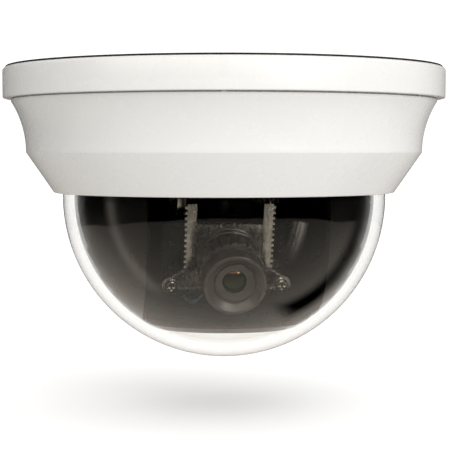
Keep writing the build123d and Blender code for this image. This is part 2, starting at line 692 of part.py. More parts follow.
def rear_barrel():
    body = turned(
        (TUBE_RADIUS + 0.05, -4.0),
        (7.95, -4.0),
        (7.95, 0),
        (BARREL_RADIUS, 0),
        (BARREL_RADIUS, BARREL_LENGTH, 0.5),
        (NECK_RADIUS, BARREL_LENGTH),
        (NECK_RADIUS, NECK_END, 0.2),
        (TUBE_RADIUS + 0.05, NECK_END),
    )
    body -= Pos(8.0, 0, 3.0) * Rot(0, 90, 0) * Cylinder(0.85, 3.4)
    return aimed(body)


def lens_lock_screw():
    pin = Rot(0, 90, 0) * Cylinder(0.82, 2.4)
    slot = Pos(1.2, 0, 0) * Box(0.6, 0.35, 2)
    return aimed(Pos(8.0, 0, 3.0) * (pin - slot))


def harness_lower():
    down = Vector(0, -sin(radians(TILT_ANGLE)), -cos(radians(TILT_ANGLE)))
    start = down * 1.6
    socket_back = PLATE_FRONT - BOARD_FACE + SENSOR_BOARD_THICK + 2.0
    end = Vector(0, socket_back, 1.2 - LENS_DROP)
    direction = end - start
    section = Plane(origin=start, z_dir=direction) * Circle(HARNESS_RADIUS)
    return tilted(extrude(section, amount=direction.length - 0.8, dir=direction))


def infrared_filter_lead():
    route = (
        (-5.5, -11.5, -22.3),
        (-6.6, -12.4, -27.4),
        (-10.0, -13.8, -29.0),
        (-13.0, -12.6, -26.6),
        (-13.4, -9.3, -24.4),
    )
    return tilted(tube(route, 0.55))


# ---- lens ----------------------------------------------------------------------------
def focus_ring():
    low = BARREL_LENGTH + 0.08
    high = NECK_END - 0.05
    ring = rod(9.0, low, high)
    for x, y in around(FOCUS_LOBE_CIRCLE, evenly(FOCUS_LOBES)):
        ring += rod(FOCUS_LOBE_RADIUS, low, high, x, y)
    outer = FOCUS_LOBE_CIRCLE + FOCUS_LOBE_RADIUS
    ring = ring & turned((0, low), (outer, low, 0.4), (outer, high, 0.5), (0, high))
    return aimed(ring - rod(NECK_RADIUS + 0.05, low, high))


def front_barrel():
    return aimed(turned(
        (TUBE_BORE, -3.0),
        (TUBE_RADIUS, -3.0),
        (TUBE_RADIUS, HEAD_BACK),
        (HEAD_RADIUS - 0.5, HEAD_BACK),
        (HEAD_RADIUS, HEAD_BACK + 0.8, 0.4),
        (HEAD_RADIUS, HEAD_FRONT, 0.35),
        (HEAD_RADIUS - 0.95, HEAD_FRONT, 0.2),
        (TUBE_BORE + 0.3, HEAD_FRONT - 1.6),
        (TUBE_BORE, HEAD_FRONT - 1.6),
    ))


def lens_bezel():
    return aimed(turned(
        (BEZEL_BORE, 16.0), (GLASS_RADIUS, 16.0), (GLASS_RADIUS, 17.3, 0.2), (BEZEL_BORE, 16.6)
    ))


def lens_disc(low, high, crown, crown_radius):
    """Glass disc with a crowned front, in the lens frame."""
    curve = (crown_radius ** 2 + crown ** 2) / (2 * crown)
    half_angle = asin(crown_radius / curve) / 2
    middle = (curve * sin(half_angle), 0, high + crown - curve * (1 - cos(half_angle)))
    outline = [
        Line((0, 0, low), (GLASS_RADIUS, 0, low)),
        Line((GLASS_RADIUS, 0, low), (GLASS_RADIUS, 0, high)),
        Line((GLASS_RADIUS, 0, high), (crown_radius, 0, high)),
        ThreePointArc((crown_radius, 0, high), middle, (0, 0, high + crown)),
        Line((0, 0, high + crown), (0, 0, low)),
    ]
    return revolve(Face(Wire([line.edge() for line in outline])), Axis.Z)


def front_glass():
    return aimed(lens_disc(13.6, 15.9, 1.2, BEZEL_BORE - 0.1))


def rear_glass():
    return aimed(lens_disc(-2.6, -0.6, 0.8, GLASS_RADIUS - 0.6))


NODES = {
    "mounting_base": mounting_base,
    "base_rim": base_rim,
    "bearing_posts": bearing_posts,
    "base_ribs": base_ribs,
    "base_gasket": base_gasket,
    "cable_grommet": cable_grommet,
    "main_board": main_board,
    "board_screws": board_screws,
    "board_chips": board_chips,
    "board_capacitors": board_capacitors,
    "power_coil": power_coil,
    "cable_header": cable_header,
    "harness_socket": harness_socket,
    "harness_upper": harness_upper,
    "bearing_ring": bearing_ring,
    "bearing_ring_screws": bearing_ring_screws,
    "friction_ring": friction_ring,
    "cover_shell": cover_shell,
    "dome_cover": dome_cover,
    "dome_gasket": dome_gasket,
    "dome_retaining_ring": dome_retaining_ring,
    "dome_ring_screws": dome_ring_screws,
    "turntable": turntable,
    "yoke_left": lambda: yoke(-1),
    "yoke_right": lambda: yoke(1),
    "yoke_screws": yoke_screws,
    "liner_hood": liner_hood,
    "hood_screws": hood_screws,
    "harness_middle": harness_middle,
    "tilt_cradle": tilt_cradle,
    "tilt_screws": tilt_screws,
    "tilt_washers": tilt_washers,
    "tilt_nuts": tilt_nuts,
    "plate_screws": plate_screws,
    "board_spacers": board_spacers,
    "sensor_board": sensor_board,
    "image_sensor": image_sensor,
    "sensor_board_chips": sensor_board_chips,
    "sensor_socket": sensor_socket,
    "holder_screws": holder_screws,
    "lens_holder": lens_holder,
    "infrared_filter": infrared_filter,
    "rear_barrel": rear_barrel,
    "lens_lock_screw": lens_lock_screw,
    "harness_lower": harness_lower,
    "infrared_filter_lead": infrared_filter_lead,
    "focus_ring": focus_ring,
    "front_barrel": front_barrel,
    "lens_bezel": lens_bezel,
    "front_glass": front_glass,
    "rear_glass": rear_glass,
}

os.makedirs("parts", exist_ok=True)
for node, make in NODES.items():
    shape = make()
    shape.label = node
    export_step(shape, f"parts/{node}.step")
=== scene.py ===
"""Looks of a ceiling dome camera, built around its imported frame.

The white housing, the clear dome, the black liner and the lens are modelled here as
finished meshes. The small mechanical pieces are smoothed copies of the frame's own.
Lengths in the classes are millimetres; `MM` turns them into the scene's metres.
"""
from __future__ import annotations

import json
import logging
import math
from dataclasses import dataclass, field
from enum import Enum
from typing import Iterable, Sequence

import bmesh
import bpy
from mathutils import Euler, Matrix, Vector

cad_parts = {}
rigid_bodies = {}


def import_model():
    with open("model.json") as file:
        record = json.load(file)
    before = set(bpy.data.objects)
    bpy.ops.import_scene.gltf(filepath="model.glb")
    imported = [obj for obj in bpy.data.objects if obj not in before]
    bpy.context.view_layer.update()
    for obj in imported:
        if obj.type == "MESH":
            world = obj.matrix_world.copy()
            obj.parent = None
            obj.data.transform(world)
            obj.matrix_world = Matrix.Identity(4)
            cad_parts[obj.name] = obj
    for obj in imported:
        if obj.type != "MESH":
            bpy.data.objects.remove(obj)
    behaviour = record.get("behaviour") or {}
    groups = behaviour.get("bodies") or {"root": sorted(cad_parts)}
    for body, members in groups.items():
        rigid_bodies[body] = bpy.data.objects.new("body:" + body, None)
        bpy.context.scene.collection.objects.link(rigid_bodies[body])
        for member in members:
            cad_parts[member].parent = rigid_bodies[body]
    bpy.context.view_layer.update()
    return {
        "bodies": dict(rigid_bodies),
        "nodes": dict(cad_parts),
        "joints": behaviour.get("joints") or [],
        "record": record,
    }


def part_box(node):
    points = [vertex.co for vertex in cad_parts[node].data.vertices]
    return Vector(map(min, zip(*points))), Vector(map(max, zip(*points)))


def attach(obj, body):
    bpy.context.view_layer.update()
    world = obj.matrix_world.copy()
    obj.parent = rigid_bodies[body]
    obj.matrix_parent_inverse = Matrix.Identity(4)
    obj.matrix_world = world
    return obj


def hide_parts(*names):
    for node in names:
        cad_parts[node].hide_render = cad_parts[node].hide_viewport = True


LOG = logging.getLogger("dome_camera")
MM = 0.001
Corner = Sequence[float]
Point = tuple[float, float]
Socket = bpy.types.NodeSocket


class Edges(Enum):
    """How a piece's edges are softened."""

    CRISP = 0.0
    FINE = 0.07
    SOFT = 0.16


# ---- finishes --------------------------------------------------------------------------
class Graph:
    """A short way to write a material's nodes."""

    def __init__(self, name: str) -> None:
        """Start an empty material with one principled shader.

        Args:
            name: The material's name.
        """
        self.material = bpy.data.materials.new(name)
        self.material.use_nodes = True
        self.tree = self.material.node_tree
        self.shader = self.tree.nodes["Principled BSDF"]
        self.coords = self.add("ShaderNodeTexCoord").outputs["Object"]

    def add(self, kind: str, **settings: object) -> bpy.types.Node:
        """Add a node.

        Args:
            kind: The node's type.
            **settings: Properties of the node.

        Returns:
            The new node.
        """
        node = self.tree.nodes.new(kind)
        for key, value in settings.items():
            setattr(node, key, value)
        return node

    def link(self, source: Socket, target: Socket) -> None:
        """Join two sockets.

        Args:
            source: An output.
            target: An input.
        """
        self.tree.links.new(source, target)

    def set(self, **values: object) -> None:
        """Set the shader's own sockets.

        Args:
            **values: Values by socket name, with underscores for spaces.
        """
        for key, value in values.items():
            self.shader.inputs[key.replace("_", " ")].default_value = value

    def paint(self, value: Socket, stops: Iterable[tuple[float, Sequence[float]]]) -> None:
        """Give the surface colours along a value.

        Args:
            value: What the colours follow.
            stops: Positions with their colours.
        """
        self.link(self.ramp(value, stops), self.shader.inputs["Base Color"])

    def polish(self, value: Socket, low: float, high: float) -> None:
        """Vary the surface's roughness with a noise.

        Args:
            value: The noise.
            low: Roughness at its low end.
            high: Roughness at its high end.
        """
        self.link(self.spread(value, low, high), self.shader.inputs["Roughness"])

    def stretched(self, stretch: Sequence[float]) -> Socket:
        """Object coordinates scaled along each axis.

        Args:
            stretch: A factor for each axis.

        Returns:
            The scaled coordinates.
        """
        mapping = self.add("ShaderNodeMapping")
        mapping.inputs["Scale"].default_value = stretch
        self.link(self.coords, mapping.inputs["Vector"])
        return mapping.outputs["Vector"]

    def noise(self, scale: float, detail: float, vector: Socket | None = None) -> Socket:
        """Fractal noise.

        Args:
            scale: Repeats in each metre.
            detail: Octaves.
            vector: Coordinates, or the object's own.

        Returns:
            The noise, from 0 to 1.
        """
        node = self.add("ShaderNodeTexNoise")
        node.inputs["Scale"].default_value = scale
        node.inputs["Detail"].default_value = detail
        self.link(vector or self.coords, node.inputs["Vector"])
        return node.outputs["Fac"]

    def ramp(self, value: Socket, stops: Iterable[tuple[float, Sequence[float]]]) -> Socket:
        """Colours along a value.

        Args:
            value: What the ramp reads.
            stops: Positions with their colours.

        Returns:
            The colour.
        """
        node = self.add("ShaderNodeValToRGB")
        elements = node.color_ramp.elements
        stops = list(stops)
        while len(elements) < len(stops):
            elements.new(0.5)
        for element, (position, colour) in zip(elements, stops):
            element.position = position
            element.color = (*colour[:3], 1.0)
        self.link(value, node.inputs["Fac"])
        return node.outputs["Color"]

    def spread(self, value: Socket, low: float, high: float) -> Socket:
        """Map 0.3 to 0.7 of a noise onto a range.

        Args:
            value: The noise.
            low: Result at its low end.
            high: Result at its high end.

        Returns:
            The mapped value.
        """
        node = self.add("ShaderNodeMapRange")
        node.inputs["From Min"].default_value = 0.3
        node.inputs["From Max"].default_value = 0.7
        node.inputs["To Min"].default_value = low
        node.inputs["To Max"].default_value = high
        self.link(value, node.inputs["Value"])
        return node.outputs["Result"]

    def bump(self, height: Socket, distance: float, strength: float = 1.0) -> None:
        """Raise the surface by a height field.

        Args:
            height: The field, from 0 to 1.
            distance: Metres at 1.
            strength: How much of it is used.
        """
        node = self.add("ShaderNodeBump")
        node.inputs["Distance"].default_value = distance
        node.inputs["Strength"].default_value = strength
        self.link(height, node.inputs["Height"])
        if self.shader.inputs["Normal"].is_linked:
            self.link(self.shader.inputs["Normal"].links[0].from_socket, node.inputs["Normal"])
        self.link(node.outputs["Normal"], self.shader.inputs["Normal"])


@dataclass(frozen=True)
class Moulding:
    """Moulded plastic or rubber: a faint mottle, fine grain and uneven polish."""

    name: str
    colour: tuple[float, float, float]
    mottle: float = 0.06
    rough_low: float = 0.3
    rough_high: float = 0.42
    grain_scale: float = 2600.0
    grain_depth: float = 0.012
    specular: float = 0.5
    coat: float = 0.0
    dust: float = 0.0

    def material(self) -> bpy.types.Material:
        """Build the material.

        Returns:
            The finished material.
        """
        graph = Graph(self.name)
        broad = graph.noise(38.0, 4.0)
        dark = [c * (1 - self.mottle) for c in self.colour]
        light = [min(1.0, c * (1 + self.mottle) + self.dust * 0.25) for c in self.colour]
        colour = graph.ramp(broad, [(0.32, dark), (0.5, self.colour), (0.74, light)])
        if self.dust:
            specks = graph.ramp(graph.noise(900.0, 6.0), [(0.62, (0, 0, 0)), (0.72, (1, 1, 1))])
            mix = graph.add("ShaderNodeMix", data_type="RGBA", blend_type="ADD")
            mix.inputs["Factor"].default_value = self.dust
            graph.link(colour, mix.inputs[6])
            graph.link(specks, mix.inputs[7])
            colour = mix.outputs[2]
        graph.link(colour, graph.shader.inputs["Base Color"])
        graph.polish(graph.noise(160.0, 5.0), self.rough_low, self.rough_high)
        graph.set(Specular_IOR_Level=self.specular, Coat_Weight=self.coat, Coat_Roughness=0.18)
        graph.bump(graph.noise(self.grain_scale, 3.0), self.grain_depth * MM, 0.6)
        return graph.material


@dataclass(frozen=True)
class Metal:
    """Plated or brushed metal: fine draw lines and stains."""

    name: str
    colour: tuple[float, float, float]
    stretch: tuple[float, float, float] = (1.0, 1.0, 9.0)
    rough_low: float = 0.2
    rough_high: float = 0.38
    line_depth: float = 0.006

    def material(self) -> bpy.types.Material:
        """Build the material.

        Returns:
            The finished material.
        """
        graph = Graph(self.name)
        stain = graph.noise(240.0, 6.0)
        dull = [c * 0.62 for c in self.colour]
        bright = [min(1.0, c * 1.12) for c in self.colour]
        graph.paint(stain, [(0.3, dull), (0.55, self.colour), (0.8, bright)])
        lines = graph.noise(900.0, 4.0, graph.stretched(self.stretch))
        graph.polish(lines, self.rough_low, self.rough_high)
        graph.set(Metallic=1.0)
        graph.bump(lines, self.line_depth * MM, 0.7)
        return graph.material


@dataclass(frozen=True)
class ClearMoulding:
    """Clear acrylic or glass with faint wiping marks and a little waviness."""

    name: str
    tint: tuple[float, float, float]
    refraction: float = 1.49
    haze: float = 0.015
    wave_depth: float = 0.004
    film: float = 0.0

    def material(self) -> bpy.types.Material:
        """Build the material.

        Returns:
            The finished material.
        """
        graph = Graph(self.name)
        graph.set(Base_Color=(*self.tint, 1.0), Transmission_Weight=1.0, IOR=self.refraction)
        graph.set(Thin_Film_Thickness=self.film, Thin_Film_IOR=1.38)
        wipes = graph.noise(120.0, 6.0, graph.stretched((1.0, 1.0, 3.0)))
        graph.polish(wipes, 0.0, self.haze)
        graph.bump(graph.noise(22.0, 1.0), self.wave_depth * MM, 0.5)
        return graph.material


@dataclass(frozen=True)
class Coated:
    """Front of a coated lens, dark with a coloured sheen from its thin film."""

    name: str
    depth_colour: tuple[float, float, float]
    film: float = 420.0

    def material(self) -> bpy.types.Material:
        """Build the material.

        Returns:
            The finished material.
        """
        graph = Graph(self.name)
        cloud = graph.noise(90.0, 2.0)
        deep = [c * 0.7 for c in self.depth_colour]
        graph.paint(cloud, [(0.35, deep), (0.7, self.depth_colour)])
        graph.polish(graph.noise(60.0, 2.0), 0.03, 0.05)
        graph.set(Thin_Film_Thickness=self.film, Thin_Film_IOR=1.38, Specular_IOR_Level=0.6)
        return graph.material


@dataclass(frozen=True)
class CircuitBoard:
    """Solder mask over copper tracks, with tinned pads."""

    name: str
    mask: tuple[float, float, float]
    track: tuple[float, float, float]

    def material(self) -> bpy.types.Material:
        """Build the material.

        Returns:
            The finished material.
        """
        graph = Graph(self.name)
        grid = graph.add("ShaderNodeTexVoronoi", feature="DISTANCE_TO_EDGE", distance="CHEBYCHEV")
        grid.inputs["Scale"].default_value = 420.0
        graph.link(graph.coords, grid.inputs["Vector"])
        tracks = graph.ramp(grid.outputs["Distance"], [(0.05, self.track), (0.09, self.mask)])
        pads = graph.add("ShaderNodeTexVoronoi", feature="F1")
        pads.inputs["Scale"].default_value = 520.0
        graph.link(graph.coords, pads.inputs["Vector"])
        tin = graph.ramp(pads.outputs["Distance"], [(0.1, (1, 1, 1)), (0.14, (0, 0, 0))])
        mix = graph.add("ShaderNodeMix", data_type="RGBA")
        graph.link(tin, mix.inputs[0])
        graph.link(tracks, mix.inputs[6])
        mix.inputs[7].default_value = (0.20, 0.19, 0.16, 1.0)
        graph.link(mix.outputs[2], graph.shader.inputs["Base Color"])
        graph.polish(graph.noise(600.0, 3.0), 0.25, 0.4)
        graph.bump(grid.outputs["Distance"], 0.02 * MM, 0.5)
        return graph.material


@dataclass(frozen=True)
class WovenSleeve:
    """Braided sleeve or stranded insulation, with a fine diagonal weave."""

    name: str
    colour: tuple[float, float, float]
    pitch: float = 1500.0

    def material(self) -> bpy.types.Material:
        """Build the material.

        Returns:
            The finished material.
        """
        graph = Graph(self.name)
        wave = graph.add("ShaderNodeTexWave", wave_type="BANDS", bands_direction="DIAGONAL")
        wave.inputs["Scale"].default_value = self.pitch
        wave.inputs["Distortion"].default_value = 2.0
        graph.link(graph.coords, wave.inputs["Vector"])
        dark = [c * 0.55 for c in self.colour]
        light = [min(1.0, c * 1.5) for c in self.colour]
        graph.paint(wave.outputs["Fac"], [(0.2, dark), (0.8, light)])
        graph.polish(graph.noise(800.0, 3.0), 0.5, 0.7)
        graph.bump(wave.outputs["Fac"], 0.05 * MM, 0.8)
        return graph.material


Finish = Moulding | Metal | ClearMoulding | Coated | CircuitBoard | WovenSleeve

# One finish for each material slot of the frame, and one more for the base behind the rim: a darker copy of
# the white plastic, painted shade that keeps it from blowing out.
FINISHES: dict[str, Finish] = {
    "base_white_painted_shade": Moulding(
        "base_plastic_painted_shade", (0.62, 0.612, 0.59), 0.02, grain_scale=2400.0, grain_depth=0.008, coat=0.1
    ),
    "white_shell": Moulding(
        "white_satin_plastic", (0.83, 0.822, 0.80), 0.006, 0.24, 0.3, 2400.0, grain_depth=0.006, coat=0.2
    ),
    "foam_black": Moulding("closed_cell_foam", (0.02, 0.02, 0.02), 0.3, 0.8, 0.95, 1800.0, 0.08, 0.2),
    "grommet_rubber": Moulding(
        "grommet_rubber", (0.025, 0.025, 0.025), 0.2, 0.5, 0.7, 1500.0, 0.03, 0.3, dust=0.05
    ),
    "seal_rubber": Moulding("seal_rubber", (0.03, 0.03, 0.03), 0.2, 0.5, 0.65, 1500.0, 0.02, 0.3),
    "circuit_board": CircuitBoard("dark_green_mask", (0.0012, 0.005, 0.003), (0.003, 0.010, 0.006)),
    "screw_steel": Metal("nickel_screws", (0.66, 0.65, 0.61), (1.0, 1.0, 1.0), 0.16, 0.3, 0.004),
    "chip_black": Moulding("chip_epoxy", (0.02, 0.02, 0.022), 0.15, 0.4, 0.55, 3500.0, 0.01, 0.4),
    "capacitor_can": Metal("capacitor_can", (0.78, 0.79, 0.8), (1.0, 1.0, 6.0), 0.18, 0.3),
    "coil_ferrite": Moulding("coil_ferrite", (0.05, 0.05, 0.052), 0.25, 0.6, 0.8, 1400.0, 0.04, 0.3),
    "connector_ivory": Moulding("connector_nylon", (0.66, 0.62, 0.5), 0.05, 0.4, 0.55, 2200.0, 0.01, 0.4),
    "harness_sleeve": WovenSleeve("harness_braid", (0.03, 0.03, 0.034)),
    "mechanism_black": Moulding("black_mechanism", (0.02, 0.02, 0.021), 0.15, 0.38, 0.55, 2200.0, 0.02, 0.35),
    "washer_nylon": Moulding("nylon_washer", (0.7, 0.69, 0.64), 0.05, 0.35, 0.5, 2400.0, 0.008, 0.4),
    "clear_dome": ClearMoulding("clear_acrylic", (0.985, 0.987, 0.975), 1.49, 0.012, 0.005),
    "bracket_steel": Metal("plated_bracket", (0.70, 0.68, 0.62), (1.0, 1.0, 0.12), 0.2, 0.36, 0.02),
    "liner_black": Moulding(
        "liner_satin_black", (0.006, 0.0052, 0.0045), 0.15, 0.26, 0.36, 1800.0, 0.008, 0.4
    ),
    "knob_black": Moulding("knurled_knob", (0.02, 0.02, 0.02), 0.1, 0.35, 0.5, 2000.0, 0.02, 0.4),
    "sensor_package": Coated("sensor_window", (0.03, 0.04, 0.07), 300.0),
    "filter_glass": Coated("infrared_filter", (0.10, 0.03, 0.05), 500.0),
    "lens_black": Moulding("lens_satin_black", (0.085, 0.077, 0.068), 0.1, 0.32, 0.42, 2600.0, 0.01, 0.6),
    "lead_blue": WovenSleeve("blue_insulation", (0.16, 0.34, 0.38), 900.0),
    "lens_glass": Coated("coated_lens", (0.012, 0.010, 0.011), 430.0),
}


class Workshop:
    """Makes pieces out of bmeshes, and gives each its finish, body and slot."""

    def __init__(self, frame: dict) -> None:
        """Read the frame's nodes, slots and joints.
        """
        self.nodes: dict[str, bpy.types.Object] = frame["nodes"]
        record = frame["record"]
        self.slots = {part["node"]: part["material_slot"] for part in record["subparts"]}
        self.body_of = {node: body for body, nodes in record["behaviour"]["bodies"].items() for node in nodes}
        self.joints = {joint["name"]: joint for joint in frame["joints"]}
        self.materials = {slot: finish.material() for slot, finish in FINISHES.items()}
        tilt_x = Vector(self.joints["tilt_turn"]["axis"]).normalized()
        ahead = Vector(self.joints["focus_turn"]["axis"]).normalized()
        up = Vector((0, 0, 1))
        self.pan_frame = self.axes(Vector(), tilt_x, up.cross(tilt_x), up)
        tilt_point = Vector(self.joints["tilt_turn"]["pos_m"])
        self.tilt_frame = self.axes(tilt_point, tilt_x, -ahead, tilt_x.cross(-ahead))
        lens_point = Vector(self.joints["focus_turn"]["pos_m"])
        self.lens_frame = self.axes(lens_point, tilt_x, ahead.cross(tilt_x), ahead)

    @staticmethod
    def axes(origin: Vector, x: Vector, y: Vector, z: Vector) -> Matrix:
        """A placement from an origin and three directions.

        Args:
            origin: Where its origin is, in metres.
            x: Its first direction.
            y: Its second direction.
            z: Its third direction.

        Returns:
            The matrix from that frame, in millimetres, to the scene.
        """
        turn = Matrix((x, y, z)).transposed().to_4x4()
        return Matrix.Translation(origin) @ turn @ Matrix.Scale(MM, 4)

    def add(
        self,
        bm: bmesh.types.BMesh,
        name: str,
        node: str,
        placement: Matrix | None = None,
        sharp: float = 35.0,
    ) -> bpy.types.Object:
        """Turn a bmesh in millimetres into a piece of the camera.

        Args:
            bm: The shape, which is freed.
            name: The piece's name.
            node: The frame's node that it replaces, with its body and slot.
            placement: From the shape's frame to the scene, or none if it only needs scaling.
            sharp: Edges over this many degrees stay sharp.

        Returns:
            The piece.
        """
        bm.transform(placement or Matrix.Scale(MM, 4))
        for face in bm.faces:
            face.smooth = True
        for edge in bm.edges:
            edge.smooth = len(edge.link_faces) == 2 and edge.calc_face_angle(0.0) < math.radians(sharp)
        mesh = bpy.data.meshes.new(name)
        bm.to_mesh(mesh)
        bm.free()
        mesh.materials.append(self.materials[self.slots[node]])
        piece = bpy.data.objects.new(name, mesh)
        bpy.context.scene.collection.objects.link(piece)
        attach(piece, self.body_of[node])
        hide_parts(node)
        LOG.info("%s: %d faces on %s", name, len(mesh.polygons), self.body_of[node])
        return piece

    def copied(self, node: str) -> bmesh.types.BMesh:
        """A clean copy of a node's mesh, in millimetres, with doubled vertices merged.

        Args:
            node: The frame's node.

        Returns:
            The copy.
        """
        bm = bmesh.new()
        bm.from_mesh(self.nodes[node].data)
        bm.transform(Matrix.Scale(1 / MM, 4))
        bmesh.ops.remove_doubles(bm, verts=bm.verts, dist=0.0005)
        return bm

    def resurface(self, node: str, edges: Edges = Edges.CRISP) -> bpy.types.Object:
        """Replace a node by its own shape, smoothed, with softened edges.

        Args:
            node: The frame's node.
            edges: How much its edges are softened.

        Returns:
            The piece.
        """
        bm = self.copied(node)
        if edges is not Edges.CRISP:
            bmesh.ops.dissolve_limit(
                bm, angle_limit=math.radians(0.6), verts=bm.verts, edges=bm.edges, delimit={"NORMAL"}
            )
            soften(bm, edges.value, 2, 50.0)
        return self.add(bm, f"{node}_finished", node)


# ---- shaping ----------------------------------------------------------------------------
def outline(corners: Iterable[Corner], fineness: int = 6) -> list[Point]:
    """Points of an outline whose corners may be rounded.

    Args:
        corners: Each (radius, height) or (radius, height, rounding).
        fineness: Segments in each rounding.

    Returns:
        The points.
    """
    corners = [tuple(corner) for corner in corners]
    points: list[Point] = []
    for index, corner in enumerate(corners):
        here = Vector(corner[:2])
        if len(corner) < 3 or not 0 < index < len(corners) - 1:
            points.append((here.x, here.y))
            continue
        before = (Vector(corners[index - 1][:2]) - here).normalized()
        after = (Vector(corners[index + 1][:2]) - here).normalized()
        half = before.angle(after) / 2
        reach = corner[2] / math.tan(half)
        middle = here + (before + after).normalized() * corner[2] / math.sin(half)
        start = here + before * reach - middle
        finish = here + after * reach - middle
        turn = start.angle_signed(finish)
        for step in range(fineness + 1):
            spoke = start.copy()
            spoke.rotate(Matrix.Rotation(-turn * step / fineness, 2))
            points.append((middle.x + spoke.x, middle.y + spoke.y))
    return points


def arc(centre: Point, radius: float, start: float, end: float, steps: int) -> list[Point]:
    """Points of a circular arc.

    Args:
        centre: Its centre, as (radius, height).
        radius: Its radius.
        start: Where it starts, in degrees.
        end: Where it ends, in degrees.
        steps: Segments.

    Returns:
        The points.
    """
    angles = [math.radians(start + (end - start) * step / steps) for step in range(steps + 1)]
    return [(centre[0] + radius * math.cos(a), centre[1] + radius * math.sin(a)) for a in angles]


def spun(points: Sequence[Point], steps: int = 160, closed: bool = True) -> bmesh.types.BMesh:
    """Spin an outline about Z.

    Args:
        points: (radius, height) points.
        steps: Segments round the turn.
        closed: Whether the outline's ends are joined.

    Returns:
        The turned shape, faces outwards.
    """
    bm = bmesh.new()
    verts = [bm.verts.new((radius, 0, height)) for radius, height in points]
    pairs = list(zip(verts, verts[1:]))
    if closed:
        pairs.append((verts[-1], verts[0]))
    edges = [bm.edges.new(pair) for pair in pairs]
    bmesh.ops.spin(
        bm, geom=verts + edges, cent=(0, 0, 0), axis=(0, 0, 1), angle=math.tau, steps=steps, use_merge=True
    )
    bmesh.ops.remove_doubles(bm, verts=bm.verts, dist=0.0005)
    bmesh.ops.dissolve_degenerate(bm, dist=0.0001, edges=bm.edges)
    bmesh.ops.recalc_face_normals(bm, faces=bm.faces)
    return bm


def soften(bm: bmesh.types.BMesh, width: float, segments: int, angle: float) -> None:
    """Bevel the edges of a shape that are sharper than an angle.

    Args:
        bm: The shape.
        width: Bevel width in millimetres.
        segments: Segments across the bevel.
        angle: The angle in degrees.
    """
    sharp = [e for e in bm.edges if len(e.link_faces) == 2 and e.calc_face_angle(0.0) > math.radians(angle)]
    bmesh.ops.bevel(
        bm, geom=sharp, affect="EDGES", offset=width, offset_type="OFFSET", segments=segments,
        profile=0.5, material=-1, clamp_overlap=True,
    )


def brick(
    size: Sequence[float], centre: Sequence[float], width: float = 0.0, turn: Euler | None = None
) -> bmesh.types.BMesh:
    """A block with bevelled edges.

    Args:
        size: Its size along each axis.
        centre: Its middle.
        width: Bevel width.
        turn: How it is turned before it is placed.

    Returns:
        The block.
    """
    bm = bmesh.new()
    bmesh.ops.create_cube(bm, size=1.0)
    bmesh.ops.scale(bm, vec=size, verts=bm.verts)
    if width:
        soften(bm, width, 3, 30.0)
    if turn is not None:
        bmesh.ops.rotate(bm, cent=(0, 0, 0), matrix=turn.to_matrix(), verts=bm.verts)
    bmesh.ops.translate(bm, vec=centre, verts=bm.verts)
    return bm


def joined(shapes: Iterable[bmesh.types.BMesh]) -> bmesh.types.BMesh:
    """Put several shapes in one.

    Args:
        shapes: The shapes, which are freed.

    Returns:
        One bmesh with all of them.
    """
    whole = bmesh.new()
    for shape in shapes:
        carrier = bpy.data.meshes.new("carrier")
        shape.to_mesh(carrier)
        shape.free()
        whole.from_mesh(carrier)
        bpy.data.meshes.remove(carrier)
    return whole


